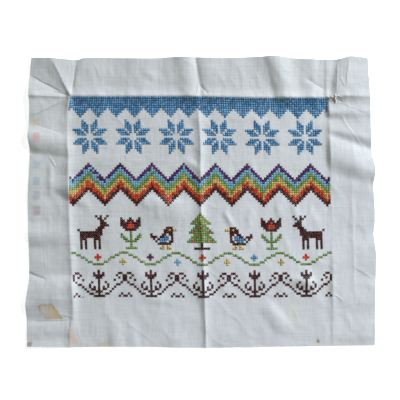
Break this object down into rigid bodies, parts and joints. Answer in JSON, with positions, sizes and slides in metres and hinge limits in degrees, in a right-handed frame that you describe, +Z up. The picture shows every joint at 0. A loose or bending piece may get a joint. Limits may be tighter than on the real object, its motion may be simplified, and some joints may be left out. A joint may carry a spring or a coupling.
{
  "type": "cross stitch sampler",
  "caption": "Unframed cross stitch sampler on plain woven cotton, lying flat, with pressed creases, pleated margins and floss worked in bands.",
  "frame": {"origin": "on the table under the middle of the cloth's box", "axes": "+X to the right of the worked side, +Y towards its top edge, +Z up out of the worked face"},
  "size_m": [0.4672, 0.389, 0.0121],
  "materials": {
    "cotton_ground": "plain woven cotton, matt, creased, with a few tan stains",
    "floss_blue": "stranded cotton floss, soft sheen",
    "floss_aqua": "stranded cotton floss, soft sheen",
    "floss_maroon": "stranded cotton floss, soft sheen",
    "floss_red": "stranded cotton floss, soft sheen",
    "floss_gold": "stranded cotton floss, soft sheen",
    "floss_green": "stranded cotton floss, soft sheen",
    "floss_purple": "stranded cotton floss, soft sheen"
  },
  "bodies": {
    "root": {"sampler_cloth": "cotton_ground"}
  },
  "joints": []
}
